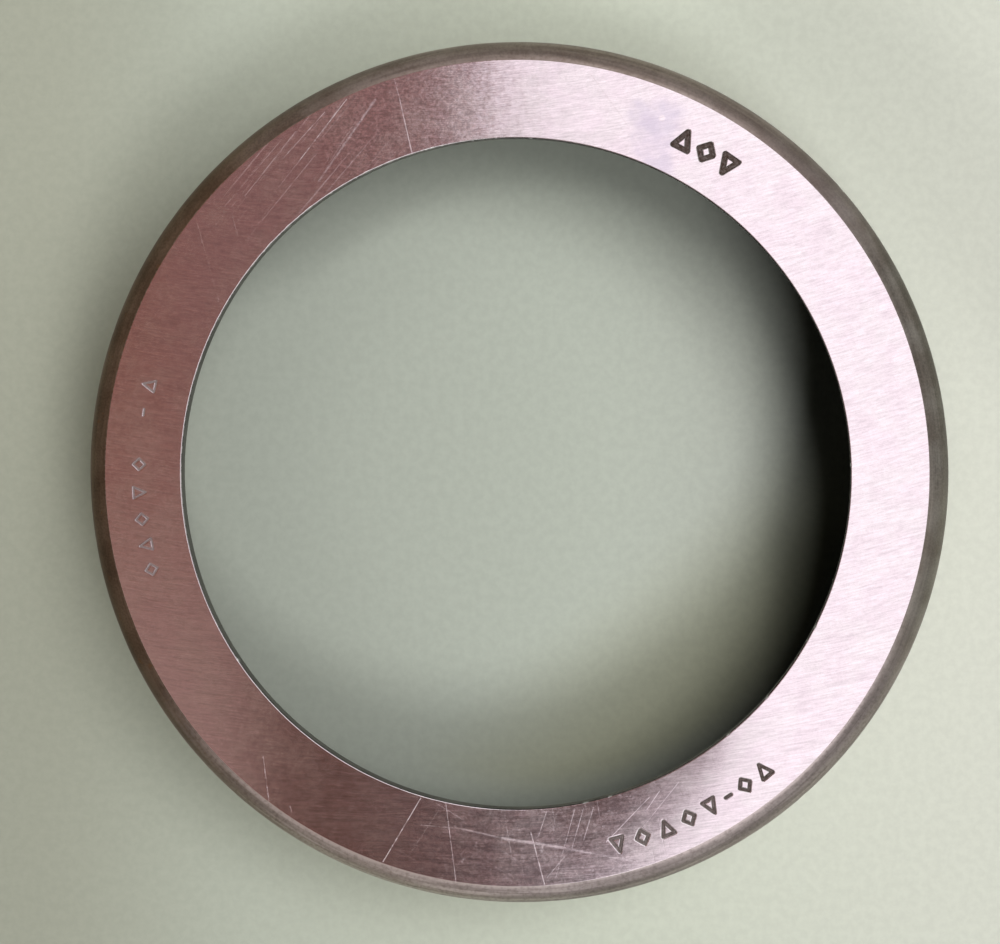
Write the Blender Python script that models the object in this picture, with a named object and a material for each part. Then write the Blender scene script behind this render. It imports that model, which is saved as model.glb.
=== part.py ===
"""Outer ring (cup) of a separable single-row tapered roller bearing.

One closed solid of bearing steel, turned about Z. Metres, +Z up.

Frame: the origin is on the ring's axis, in the plane of the front face (the
thin face, at the raceway's wide end). +Z runs along the axis and out of the
back face (the wide face, at the raceway's narrow end).
"""

import math

import bmesh
import bpy
from mathutils import Vector

# ---------------------------------------------------------------- dimensions
INCH = 0.0254
MM = 0.001

OUTSIDE_DIAMETER = 2.6875 * INCH
WIDTH = 0.6875 * INCH               # front face to back face

RACEWAY_TAPER = 0.28                # tangent of the raceway's half angle
LAND_DIAMETER = 52.9 * MM           # plain bore behind the raceway's narrow end
LAND_LENGTH = 1.5 * MM              # back face to where land and raceway lines meet
RUNOUT_RADIUS = 0.25 * MM           # blend, tangent to the land and the raceway
RUNOUT_STEPS = 2

# Broken inner edges, with equal legs along the radius and the axis
BACK_BORE_CHAMFER = 0.08 * MM       # land to back face
FRONT_BORE_CHAMFER = 0.35 * MM      # raceway to front face

# Rounded outer corners: legs along the radius and the axis, arc radius, chords
BACK_CORNER_RADIAL = 1.53 * MM
BACK_CORNER_AXIAL = 1.80 * MM
BACK_CORNER_ARC = 1.90 * MM
BACK_CORNER_STEPS = 6

FRONT_CORNER_RADIAL = 1.15 * MM
FRONT_CORNER_AXIAL = 1.30 * MM
FRONT_CORNER_ARC = 1.45 * MM
FRONT_CORNER_STEPS = 5

SEGMENTS = 180                      # around the axis
SHARP_ANGLE = math.radians(14.0)    # edges that turn more than this shade sharp

STEEL_COLOUR = (0.60, 0.56, 0.56, 1.0)
STEEL_ROUGHNESS = 0.34


# ------------------------------------------------------------------- profile
def arc_between(start, end, radius, steps):
    """Points (radius, z) of an arc from start to end, both included.

    The centre lies to the left of the way from start to end, so a corner of
    an anticlockwise outline bulges outwards.
    """
    start, end = Vector(start), Vector(end)
    chord = end - start
    half_chord = chord.length / 2
    left = Vector((-chord.y, chord.x)).normalized()
    centre = (start + end) / 2 + left * math.sqrt(radius ** 2 - half_chord ** 2)
    first = math.atan2(start.y - centre.y, start.x - centre.x)
    sweep = 2 * math.asin(half_chord / radius)
    angles = [first + sweep * i / steps for i in range(steps + 1)]
    return [
        (centre.x + radius * math.cos(angle), centre.y + radius * math.sin(angle))
        for angle in angles
    ]


def runout(land_radius, land_end):
    """Points (radius, z) of the blend from the land down into the raceway."""
    half_angle = math.atan(RACEWAY_TAPER)
    # The blend starts this far short of the point where the two lines meet.
    tangent_length = RUNOUT_RADIUS * math.tan(half_angle / 2)
    turns = [half_angle * i / RUNOUT_STEPS for i in range(RUNOUT_STEPS + 1)]
    return [
        (
            land_radius + RUNOUT_RADIUS * (1 - math.cos(turn)),
            land_end + tangent_length - RUNOUT_RADIUS * math.sin(turn),
        )
        for turn in turns
    ]


def cup_profile():
    """The ring's section as a closed loop of (radius, z), walked anticlockwise."""
    outer_radius = OUTSIDE_DIAMETER / 2
    land_radius = LAND_DIAMETER / 2
    land_end = WIDTH - LAND_LENGTH
    raceway_front_radius = land_radius + (land_end - FRONT_BORE_CHAMFER) * RACEWAY_TAPER

    front_chamfer = [
        (raceway_front_radius, FRONT_BORE_CHAMFER),
        (raceway_front_radius + FRONT_BORE_CHAMFER, 0.0),
    ]
    front_corner = arc_between(
        start=(outer_radius - FRONT_CORNER_RADIAL, 0.0),
        end=(outer_radius, FRONT_CORNER_AXIAL),
        radius=FRONT_CORNER_ARC,
        steps=FRONT_CORNER_STEPS,
    )
    back_corner = arc_between(
        start=(outer_radius, WIDTH - BACK_CORNER_AXIAL),
        end=(outer_radius - BACK_CORNER_RADIAL, WIDTH),
        radius=BACK_CORNER_ARC,
        steps=BACK_CORNER_STEPS,
    )
    back_chamfer = [
        (land_radius + BACK_BORE_CHAMFER, WIDTH),
        (land_radius, WIDTH - BACK_BORE_CHAMFER),
    ]
    # The loop closes along the raceway, from the run-out to the front chamfer.
    return (
        front_chamfer + front_corner + back_corner + back_chamfer
        + runout(land_radius, land_end)
    )


# --------------------------------------------------------------------- build
def clear_scene():
    for obj in list(bpy.data.objects):
        bpy.data.objects.remove(obj, do_unlink=True)


def steel_material():
    material = bpy.data.materials.new("bearing_steel")
    material.use_nodes = True
    inputs = material.node_tree.nodes["Principled BSDF"].inputs
    inputs["Base Color"].default_value = STEEL_COLOUR
    inputs["Metallic"].default_value = 1.0
    inputs["Roughness"].default_value = STEEL_ROUGHNESS
    material.diffuse_color = STEEL_COLOUR    # solid-view colour
    return material


def turned_mesh(name, profile):
    """Spins a closed profile of (radius, z) about Z into one closed solid."""
    solid = bmesh.new()
    section = [solid.verts.new((radius, 0.0, z)) for radius, z in profile]
    edges = [solid.edges.new(pair) for pair in zip(section, section[1:] + section[:1])]
    bmesh.ops.spin(
        solid,
        geom=section + edges,
        cent=(0.0, 0.0, 0.0),
        axis=(0.0, 0.0, 1.0),
        angle=math.tau,
        steps=SEGMENTS,
        use_merge=True,    # joins the last section to the first
    )
    bmesh.ops.recalc_face_normals(solid, faces=solid.faces)

    mesh = bpy.data.meshes.new(name)
    solid.to_mesh(mesh)
    solid.free()
    mesh.shade_smooth()
    mesh.set_sharp_from_angle(angle=SHARP_ANGLE)
    return mesh


def add_object(name, data):
    obj = bpy.data.objects.new(name, data)
    bpy.context.scene.collection.objects.link(obj)
    return obj


def add_axis():
    """An empty that marks the ring's axis and carries the ring."""
    axis = add_object("bearing_axis", None)
    axis.empty_display_type = "SINGLE_ARROW"
    axis.empty_display_size = WIDTH * 2
    return axis


def add_cup(parent):
    name = "outer_ring_cup"
    cup = add_object(name, turned_mesh(name, cup_profile()))
    cup.data.materials.append(steel_material())
    cup.parent = parent


clear_scene()
add_cup(parent=add_axis())
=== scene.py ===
"""The loose outer ring (cup) of a tapered roller bearing, lying on a pale floor.

The ring's axis is Z. Its narrow front face rests at z = 0, and its wide back face, which carries
stamped marks of plain shapes, looks up at the camera. The picture's right is +X, its top +Y.
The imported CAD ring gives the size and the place; one finely meshed ring stands for it.
"""

import math
import bpy
import numpy as np
from mathutils import Matrix, Vector


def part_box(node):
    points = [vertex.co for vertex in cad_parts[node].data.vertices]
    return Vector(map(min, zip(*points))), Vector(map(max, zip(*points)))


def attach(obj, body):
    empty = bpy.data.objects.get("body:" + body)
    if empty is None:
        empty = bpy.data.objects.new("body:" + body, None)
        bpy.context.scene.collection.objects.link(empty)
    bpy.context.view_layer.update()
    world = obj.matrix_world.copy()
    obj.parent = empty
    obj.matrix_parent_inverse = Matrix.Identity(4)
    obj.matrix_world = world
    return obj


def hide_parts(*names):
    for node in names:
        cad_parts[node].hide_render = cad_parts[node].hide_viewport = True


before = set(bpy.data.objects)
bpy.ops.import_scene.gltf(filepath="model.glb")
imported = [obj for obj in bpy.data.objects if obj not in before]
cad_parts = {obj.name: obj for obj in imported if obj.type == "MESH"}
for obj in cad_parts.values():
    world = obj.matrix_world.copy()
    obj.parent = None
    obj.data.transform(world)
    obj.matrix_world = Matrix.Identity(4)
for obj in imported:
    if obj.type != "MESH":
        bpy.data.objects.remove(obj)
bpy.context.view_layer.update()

NODE = "outer_ring_cup"
BODY = "root"
MM = 0.001                            # the ring is worked out in mm

# ------------------------------------------------------------------ the section, in mm
_, node_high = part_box(NODE)
OUTER_RADIUS = node_high.x / MM
WIDTH = node_high.z / MM

RACE_TAPER = 0.28                     # radius lost per mm of height
LAND_RADIUS = 26.45                   # the short cylinder at the back end of the bore
LAND_LENGTH = 1.5
LAND_START = WIDTH - LAND_LENGTH
BACK_BORE_CHAMFER = 0.08
FRONT_BORE_CHAMFER = 0.35
RUNOUT_RADIUS = 0.25                  # where the raceway meets the land
RUNOUT_STEPS = 3

# turned outer corners: how far they reach along each direction, and their radius
BACK_RADIAL, BACK_AXIAL, BACK_TURNED = 1.53, 1.80, 1.90
FRONT_RADIAL, FRONT_AXIAL, FRONT_TURNED = 1.15, 1.30, 1.45
BACK_CORNER_LENGTH = 2.62             # along the back corner's arc, for its finish
BACK_CORNER_START = WIDTH - BACK_AXIAL

# material slots
FACE, CORNER, OUTSIDE, RACE, LAND, CHAMFER, FRONT = range(7)

WHOLE = math.inf                      # row spacing of a stretch that is not divided


def arc(start, end, radius, steps):
    """Convex arc of a given radius between two (radius, z) points."""
    start, end = np.array(start, float), np.array(end, float)
    chord = end - start
    length = np.hypot(*chord)
    left = np.array([-chord[1], chord[0]]) / length
    centre = (start + end) / 2 + left * math.sqrt(radius**2 - (length / 2) ** 2)
    first = math.atan2(start[1] - centre[1], start[0] - centre[0])
    sweep = 2 * math.asin(length / 2 / radius)
    angles = first + sweep * np.linspace(0, 1, steps + 1)
    return [(centre[0] + radius * math.cos(a), centre[1] + radius * math.sin(a)) for a in angles]


def sharp_outline():
    """The section's corners, anticlockwise: radius, z, material after, edge rounding, spacing."""
    outline = []

    def put(points, material, rounding, spacing=WHOLE):
        for k, (radius, z) in enumerate(points):
            outline.append((radius, z, material, rounding if k == 0 else 0.0, spacing))

    race_front = LAND_RADIUS + (LAND_START - FRONT_BORE_CHAMFER) * RACE_TAPER
    put([(race_front, FRONT_BORE_CHAMFER)], CHAMFER, rounding=0.04)
    put([(race_front + FRONT_BORE_CHAMFER, 0.0)], FRONT, rounding=0.04, spacing=0.8)
    front = arc((OUTER_RADIUS - FRONT_RADIAL, 0.0), (OUTER_RADIUS, FRONT_AXIAL), FRONT_TURNED, 6)
    put(front[:-1], CORNER, rounding=0.04)
    put([front[-1]], OUTSIDE, rounding=0.06, spacing=1.9)
    back = arc((OUTER_RADIUS, BACK_CORNER_START), (OUTER_RADIUS - BACK_RADIAL, WIDTH),
               BACK_TURNED, 9)
    put(back[:-1], CORNER, rounding=0.06)
    put([back[-1]], FACE, rounding=0.02, spacing=0.36)
    put([(LAND_RADIUS + BACK_BORE_CHAMFER, WIDTH)], CHAMFER, rounding=0.03)
    put([(LAND_RADIUS, WIDTH - BACK_BORE_CHAMFER)], LAND, rounding=0.03, spacing=0.7)
    sweep = math.atan(RACE_TAPER)
    tangent = RUNOUT_RADIUS * math.tan(sweep / 2)
    runout = []
    for k in range(RUNOUT_STEPS + 1):
        angle = sweep * k / RUNOUT_STEPS
        runout.append((LAND_RADIUS + RUNOUT_RADIUS * (1 - math.cos(angle)),
                       LAND_START + tangent - RUNOUT_RADIUS * math.sin(angle)))
    put(runout[:-1], LAND, rounding=0.0)
    put([runout[-1]], RACE, rounding=0.0, spacing=2.2)
    return outline


def rounded_outline():
    """The outline with its edges eased: radius, z, material after, spacing."""
    outline = sharp_outline()
    path = []
    for k, (radius, z, material, rounding, spacing) in enumerate(outline):
        if rounding == 0.0:
            path.append((radius, z, material, spacing))
            continue
        here = np.array([radius, z])
        arriving = here - np.array(outline[k - 1][:2])
        leaving = np.array(outline[(k + 1) % len(outline)][:2]) - here
        length_in, length_out = np.hypot(*arriving), np.hypot(*leaving)
        arriving, leaving = arriving / length_in, leaving / length_out
        cut = min(rounding, 0.3 * length_in, 0.3 * length_out)
        start, end = here - arriving * cut, here + leaving * cut
        middle = (start + 2 * here + end) / 4
        material_in = outline[k - 1][2]
        # a row just outside the rounding keeps the flat beside it evenly shaded
        if length_in > 4 * cut:
            path.append((*(start - arriving * cut * 0.9), material_in, WHOLE))
        path.append((*start, material_in, WHOLE))
        path.append((*middle, material, WHOLE))
        if length_out > 4 * cut:
            path.append((*end, material, WHOLE))
            path.append((*(end + leaving * cut * 0.9), material, spacing))
        else:
            path.append((*end, material, spacing))
    return path


def section():
    """The mesh's rows as (radius, z, material of the band that starts there), and path length."""
    path = rounded_outline()
    rows = []
    for k, (radius, z, material, spacing) in enumerate(path):
        next_radius, next_z = path[(k + 1) % len(path)][:2]
        length = math.hypot(next_radius - radius, next_z - z)
        pieces = max(1, round(length / spacing))
        for i in range(pieces):
            part = i / pieces
            rows.append((radius + (next_radius - radius) * part, z + (next_z - z) * part,
                         material))
    rows = np.array(rows)
    steps = np.hypot(np.diff(rows[:, 0]), np.diff(rows[:, 1]))
    return rows, np.concatenate([[0], np.cumsum(steps)])


# --------------------------------------------------- stamped marks (plain shapes), in mm
# corners of each shape, from -1 to 1 in width and height
SHAPES = {
    "dash": [(-1, 0), (1, 0)],
    "diamond": [(0, 1), (1, 0), (0, -1), (-1, 0), (0, 1)],
    "triangle": [(-1, -1), (1, -1), (0, 1), (-1, -1)],
    "wedge": [(-1, 1), (1, 1), (0, -1), (-1, 1)],
}
MARK_REACH = 1.6                      # no mark is larger than this round its centre
MARK_WALL = 0.055                     # width of the sloping side of a stroke


def mark(kind, angle, radius, size, stroke, depth, dirt):
    """One stamped shape at a polar place on the back face, size given as (width, height)."""
    angle = math.radians(angle)
    width, height = size
    corners = [(x * width / 2, y * height / 2) for x, y in SHAPES[kind]]
    return {
        "centre": (radius * math.cos(angle), radius * math.sin(angle)), "angle": angle,
        "lines": list(zip(corners, corners[1:])), "stroke": stroke, "depth": depth, "dirt": dirt,
    }


# three large marks at the upper right: shape, angle in degrees
LARGE_MARKS = [("triangle", 63.0), ("diamond", 59.2), ("wedge", 55.4)]
# a row of deep marks at the lower right: shape, angle, radius, dirt from 0 to 1
DEEP_MARKS = [
    ("wedge", 310.4, 30.42, 0.95), ("diamond", 306.9, 30.44, 0.95), ("dash", 303.9, 30.42, 0.90),
    ("triangle", 300.9, 30.40, 0.90), ("diamond", 297.2, 30.36, 0.90),
    ("wedge", 293.5, 30.34, 0.88), ("diamond", 289.7, 30.34, 0.86),
    ("triangle", 285.9, 30.34, 0.84),
]
# a row of shallow, clean marks on the left: shape, angle
SHALLOW_MARKS = [
    ("triangle", 166.4), ("dash", 170.6), ("diamond", 178.6), ("wedge", 182.9),
    ("diamond", 187.0), ("triangle", 191.0), ("diamond", 194.8),
]
DASH_SIZE = (0.5, 0.2)

MARKS = []
for kind, angle in LARGE_MARKS:
    MARKS.append(mark(kind, angle, radius=29.5, size=(1.22, 1.36), stroke=0.38, depth=0.10,
                      dirt=1.0))
for kind, angle, radius, dirt in DEEP_MARKS:
    size = DASH_SIZE if kind == "dash" else (1.0, 1.12)
    MARKS.append(mark(kind, angle, radius, size, stroke=0.22, depth=0.08, dirt=dirt))
for kind, angle in SHALLOW_MARKS:
    size = DASH_SIZE if kind == "dash" else (0.9, 0.98)
    MARKS.append(mark(kind, angle, radius=29.86, size=size, stroke=0.17, depth=0.008, dirt=0.0))


def segment_distance(x, y, start, end):
    run, rise = end[0] - start[0], end[1] - start[1]
    part = ((x - start[0]) * run + (y - start[1]) * rise) / (run * run + rise * rise)
    part = np.clip(part, 0, 1)
    return np.hypot(x - start[0] - part * run, y - start[1] - part * rise)


def near_mark(stamp, x, y):
    return np.hypot(x - stamp["centre"][0], y - stamp["centre"][1]) < MARK_REACH


def mark_distance(stamp, x, y):
    """Distance from the centre line of a mark's strokes."""
    cosine, sine = math.cos(stamp["angle"]), math.sin(stamp["angle"])
    from_x, from_y = x - stamp["centre"][0], y - stamp["centre"][1]
    outward = from_x * cosine + from_y * sine
    clockwise = from_x * sine - from_y * cosine
    distance = np.full(np.shape(x), 1e9)
    for start, end in stamp["lines"]:
        distance = np.minimum(distance, segment_distance(clockwise, outward, start, end))
    return distance


def smooth(part):
    part = np.clip(part, 0, 1)
    return part * part * (3 - 2 * part)


def engrave(x, y):
    """(depth in mm, grime and painted shade 0 to 1) of the stamped marks at points on the back
    face.
    """
    depth, dirt = np.zeros(np.shape(x)), np.zeros(np.shape(x))
    for stamp in MARKS:
        near = near_mark(stamp, x, y)
        if not near.any():
            continue
        distance = mark_distance(stamp, x[near], y[near])
        half = stamp["stroke"] / 2
        cut = smooth((half + MARK_WALL / 2 - distance) / MARK_WALL)
        floor = 1 - 0.22 * smooth(1 - distance / half)    # a slightly raised middle
        depth[near] = np.maximum(depth[near], stamp["depth"] * (cut * floor))
        if stamp["dirt"]:
            soil_and_shade = stamp["dirt"] * smooth((half + 0.055 - distance) / 0.05)
        else:                         # a shallow mark holds less grime; its darkening is partly painted shade
            soil_and_shade = 0.62 * smooth((half + 0.02 - distance) / 0.06)
        dirt[near] = np.maximum(dirt[near], soil_and_shade)
    return depth, dirt


def marks_near(x, y):
    """True where a coarse cell has to be refined for a mark."""
    touched = np.zeros(np.shape(x), bool)
    for stamp in MARKS:
        near = near_mark(stamp, x, y)
        if near.any():
            distance = mark_distance(stamp, x[near], y[near])
            touched[near] |= distance < stamp["stroke"] / 2 + 0.09
    return touched


# ------------------------------------------------------------ nicks on the edges
# on the bore's back edge: angle (degrees), half width (mm), depth (mm)
BORE_NICKS = [
    (1.9, 0.12, 0.03), (333.6, 0.20, 0.09), (330.8, 0.10, 0.03), (319.0, 0.18, 0.07),
    (309.8, 0.16, 0.06), (115.8, 0.28, 0.05), (111.5, 0.20, 0.03), (127.6, 0.26, 0.045),
    (132.3, 0.22, 0.04), (136.8, 0.26, 0.05), (104.0, 0.20, 0.03), (282.5, 0.20, 0.04),
    (286.8, 0.14, 0.035), (152.4, 0.14, 0.025), (214.0, 0.16, 0.025),
]
# where the back corner meets the outside: same columns
CORNER_NICKS = [
    (41.0, 0.24, 0.03), (113.5, 0.35, 0.035), (160.5, 0.30, 0.03), (232.0, 0.30, 0.035),
    (275.0, 0.22, 0.03), (312.0, 0.34, 0.045),
]
# dents on the outside diameter: angle, z (mm), half width, half height, depth
OUTSIDE_DENTS = [
    (22.0, 9.2, 0.55, 0.30, 0.03), (247.0, 4.1, 0.35, 0.40, 0.03),
    (305.0, 11.8, 0.5, 0.25, 0.025), (92.0, 6.0, 0.35, 0.55, 0.03),
    (140.0, 12.7, 0.45, 0.3, 0.025), (201.0, 8.1, 0.5, 0.4, 0.03),
    (355.0, 5.2, 0.4, 0.35, 0.03),
]


def arc_offset(degrees, angle, radius):
    """Signed distance in mm round the ring from an angle, the shorter way."""
    return ((degrees - angle + 180) % 360 - 180) * math.pi / 180 * radius


def edge_nicks(nicks, degrees, radius, edge_distance, reach, power, ripple, waves, phase):
    """Depth in mm, and share of the full depth, of each nick along one edge."""
    fade = np.exp(-((edge_distance / reach) ** 2))
    for number, (angle, half_width, depth) in enumerate(nicks):
        along = arc_offset(degrees, angle, radius) / half_width
        rippled = 1 + ripple * np.sin(waves * along + phase * number)
        amount = np.exp(-np.abs(along) ** power) * rippled * fade * depth
        yield amount, np.clip(amount / depth, 0, 1)


def knocks(theta, radius, z):
    """Moves the section's points for nicks and dents; returns radius, z and how worn each is."""
    radius, z = radius.copy(), z.copy()
    worn = np.zeros(np.shape(radius))
    degrees = np.degrees(theta)
    edge = np.hypot(radius - (LAND_RADIUS + BACK_BORE_CHAMFER), z - (WIDTH - BACK_BORE_CHAMFER))
    for amount, share in edge_nicks(BORE_NICKS, degrees, LAND_RADIUS, edge, reach=0.11,
                                    power=2.6, ripple=0.25, waves=9, phase=1):
        radius += amount
        worn = np.maximum(worn, share * (z < WIDTH - 0.001))
    edge = np.hypot(radius - OUTER_RADIUS, z - BACK_CORNER_START)
    for amount, share in edge_nicks(CORNER_NICKS, degrees, OUTER_RADIUS, edge, reach=0.28,
                                    power=2.4, ripple=0.3, waves=8, phase=2):
        radius -= amount * 0.8
        z -= amount * 0.8
        worn = np.maximum(worn, share * 0.45)
    for angle, height, half_width, half_height, depth in OUTSIDE_DENTS:
        along = arc_offset(degrees, angle, OUTER_RADIUS) / half_width
        up = (z - height) / half_height
        on_outside = np.abs(radius - OUTER_RADIUS) < 0.02
        amount = np.exp(-(along * along + up * up) ** 1.3) * depth * on_outside
        radius -= amount
        worn = np.maximum(worn, np.clip(amount / depth, 0, 1) * 0.7)
    return radius, z, worn


# ------------------------------------------------------------------- the mesh
BASE_COLUMNS = 660
LEAST_STEP = 0.10                     # degrees between two columns
REFINE = 7                            # pieces along each side of a refined cell


def columns():
    """Angles of the mesh's columns in radians: even, and closer together at the nicks."""
    angles = list(np.arange(BASE_COLUMNS) * 360 / BASE_COLUMNS)
    # columns to each side of a nick, and their step in half widths
    for nicks, radius, count, step in (
        (BORE_NICKS, LAND_RADIUS, 4, 0.42), (CORNER_NICKS, OUTER_RADIUS, 3, 0.5),
    ):
        for angle, half_width, _ in nicks:
            for k in range(-count, count + 1):
                angles.append((angle + k * math.degrees(half_width * step / radius)) % 360)
    kept = []
    for angle in sorted(angles):
        if not kept or angle - kept[-1] >= LEAST_STEP:
            kept.append(angle)
        elif angle in (0.0, 90.0, 180.0, 270.0):      # these keep the ring's exact size
            kept[-1] = angle
    return np.radians(kept)


class RingGrid:
    """Rows and columns of the ring, with a finer grid in the cells that hold stamped marks.

    Vertices of the coarse grid are numbered first, row by row, then the finer grid's.
    """

    def __init__(self):
        self.rows, self.length = section()
        self.material = self.rows[:, 2].astype(int)
        self.theta = columns()
        self.next_theta = np.append(self.theta[1:], self.theta[0] + math.tau)
        self.shape = len(self.rows), len(self.theta)
        self.numbers = {}
        self.extra = []               # radius, angle, path length of the finer grid's points
        self.fine = self.cells_to_refine()

    def cells_to_refine(self):
        n_row, _ = self.shape
        flat = np.abs(self.rows[:, 1] - WIDTH) < 1e-6
        fine = np.zeros(self.shape, bool)
        for i in range(n_row):
            i_next = (i + 1) % n_row
            if not (self.material[i] == FACE and flat[i] and flat[i_next]):
                continue
            inner, outer = self.rows[i, 0], self.rows[i_next, 0]
            for across in np.linspace(0, 1, 5):
                for round_ring in np.linspace(0, 1, 5):
                    radius = inner + (outer - inner) * across
                    angle = self.theta + (self.next_theta - self.theta) * round_ring
                    fine[i] |= marks_near(radius * np.cos(angle), radius * np.sin(angle))
        return fine

    def point(self, i, j, a, b):
        """Vertex number at fraction (a, b) / REFINE of coarse cell (i, j)."""
        n_row, n_col = self.shape
        if a == REFINE:
            i, a = i + 1, 0
        if b == REFINE:
            j, b = j + 1, 0
        i, j = i % n_row, j % n_col
        if a == 0 and b == 0:
            return i * n_col + j
        key = (i, j, a, b)
        if key not in self.numbers:
            self.numbers[key] = n_row * n_col + len(self.extra)
            i_next = (i + 1) % n_row
            radius, next_radius = self.rows[i, 0], self.rows[i_next, 0]
            angle, next_angle = self.theta[j], self.next_theta[j]
            length, next_length = self.length[i], self.length[i_next]
            self.extra.append((radius + (next_radius - radius) * a / REFINE,
                               angle + (next_angle - angle) * b / REFINE,
                               length + (next_length - length) * a / REFINE))
        return self.numbers[key]

    def fine_faces(self, i, j):
        return [
            (self.point(i, j, a, b), self.point(i, j, a, b + 1),
             self.point(i, j, a + 1, b + 1), self.point(i, j, a + 1, b))
            for a in range(REFINE) for b in range(REFINE)
        ]

    def coarse_face(self, i, j):
        """One face, with the points that a refined neighbour has on the shared side."""
        n_row, n_col = self.shape
        i_next, j_next = (i + 1) % n_row, (j + 1) % n_col
        on_face = self.material[i] == FACE
        forward, backward = range(1, REFINE), range(REFINE - 1, 0, -1)
        loop = [i * n_col + j]
        if on_face and self.fine[i - 1, j]:
            loop += [self.point(i, j, 0, b) for b in forward]
        loop.append(i * n_col + j_next)
        if on_face and self.fine[i, j_next]:
            loop += [self.point(i, j_next, a, 0) for a in forward]
        loop.append(i_next * n_col + j_next)
        if on_face and self.fine[i_next, j]:
            loop += [self.point(i_next, j, 0, b) for b in backward]
        loop.append(i_next * n_col + j)
        if on_face and self.fine[i, j - 1]:
            loop += [self.point(i, j, a, 0) for a in backward]
        return tuple(loop)

    def faces(self):
        """All faces, and the material of each. Rows and columns both run anticlockwise, so
        this winding faces out."""
        n_row, n_col = self.shape
        faces, face_material = [], []
        for i in range(n_row):
            for j in range(n_col):
                cell = self.fine_faces(i, j) if self.fine[i, j] else [self.coarse_face(i, j)]
                faces += cell
                face_material += [self.material[i]] * len(cell)
        return faces, face_material

    def vertices(self):
        """Places in mm, and the values each vertex carries; call it after faces()."""
        _, n_col = self.shape
        theta, radius = np.meshgrid(self.theta, self.rows[:, 0])
        z = np.repeat(self.rows[:, 1][:, None], n_col, 1)
        radius, z, worn = knocks(theta, radius, z)
        coarse = np.stack([radius * np.cos(theta), radius * np.sin(theta), z], -1).reshape(-1, 3)
        radius, theta, path = np.array(self.extra).T
        fine = np.stack([radius * np.cos(theta), radius * np.sin(theta),
                         np.full(len(radius), WIDTH)], -1)
        places = np.concatenate([coarse, fine])
        worn = np.concatenate([worn.reshape(-1), np.zeros(len(fine))])
        path = np.concatenate([np.repeat(self.length, n_col), path])

        # the stamped marks are pressed into the flat of the back face
        on_face = np.abs(places[:, 2] - WIDTH) < 1e-6
        dirt = np.zeros(len(places))
        depth, dirt[on_face] = engrave(places[on_face, 0], places[on_face, 1])
        places[on_face, 2] -= depth
        return places, {"worn": worn, "path": path, "dirt": dirt}


def build_ring():
    """The ring, and the path length at which the back corner meets the back face."""
    grid = RingGrid()
    faces, face_material = grid.faces()
    places, values = grid.vertices()
    mesh = bpy.data.meshes.new("cup_ring")
    mesh.from_pydata((places * MM).tolist(), [], faces)
    mesh.polygons.foreach_set("material_index", np.array(face_material, np.int32))
    mesh.polygons.foreach_set("use_smooth", np.ones(len(faces), bool))
    for name, numbers in values.items():
        layer = mesh.attributes.new(name, "FLOAT", "POINT")
        layer.data.foreach_set("value", numbers.astype(np.float32))
    mesh.update()
    obj = bpy.data.objects.new("cup_ring", mesh)
    bpy.context.scene.collection.objects.link(obj)
    return obj, float(grid.length[grid.material == FACE].min())


ring, FACE_PATH = build_ring()


# ------------------------------------------------------------------ node helpers
class Signal:
    """A node's output; working with it adds nodes to the same tree."""

    def __init__(self, nodes, socket):
        self.nodes = nodes
        self.socket = socket


class Number(Signal):
    """A plain value; the arithmetic signs put Math nodes."""

    def __add__(self, other):
        return self.nodes.math("ADD", self, other)

    def __radd__(self, other):
        return self.nodes.math("ADD", other, self)

    def __sub__(self, other):
        return self.nodes.math("SUBTRACT", self, other)

    def __rsub__(self, other):
        return self.nodes.math("SUBTRACT", other, self)

    def __mul__(self, other):
        return self.nodes.math("MULTIPLY", self, other)

    def __truediv__(self, other):
        return self.nodes.math("DIVIDE", self, other)

    def __abs__(self):
        return self.nodes.math("ABSOLUTE", self)

    def clamped(self):
        """Keeps the result of the last Math node within 0 to 1."""
        self.socket.node.use_clamp = True
        return self

    def ramp(self, start, end, to=(0.0, 1.0), smoothly=True):
        """Goes from to[0] to to[1] as the value goes from start to end, and stays there."""
        return self.nodes.get(
            "ShaderNodeMapRange", 0,
            {"Value": self, "From Min": start, "From Max": end, "To Min": to[0], "To Max": to[1]},
            interpolation_type="SMOOTHSTEP" if smoothly else "LINEAR", clamp=True,
        )

    def swing(self, start, end, by):
        """A ramp from -by to by."""
        return self.ramp(start, end, to=(-by, by))


class Triple(Signal):
    """A vector or a colour; the arithmetic signs put Vector Math nodes."""

    def vector_math(self, operation, other=(0.0, 0.0, 0.0), output="Vector", **inputs):
        return self.nodes.get("ShaderNodeVectorMath", output, {0: self, 1: other, **inputs},
                              operation=operation)

    def __add__(self, other):
        return self.vector_math("ADD", other)

    def __sub__(self, other):
        return self.vector_math("SUBTRACT", other)

    def __mul__(self, factor):
        return self.vector_math("SCALE", Scale=factor)

    def dot(self, other):
        return self.vector_math("DOT_PRODUCT", other, output="Value")

    def distance(self, other):
        return self.vector_math("DISTANCE", other, output="Value")

    def length(self):
        return self.vector_math("LENGTH", output="Value")

    def unit(self):
        return self.vector_math("NORMALIZE")

    def split(self):
        node = self.nodes.put("ShaderNodeSeparateXYZ", {0: self})
        return [self.nodes.wrap(socket) for socket in node.outputs]

    def noise(self, scale=1.0, detail=2.0, rough=0.5, shift=None, output=0):
        """Noise at this place; a shift keeps it from matching another noise."""
        return self.nodes.get(
            "ShaderNodeTexNoise", output,
            {"Vector": self + shift if shift else self, "Scale": scale, "Detail": detail,
             "Roughness": rough},
        )


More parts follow.
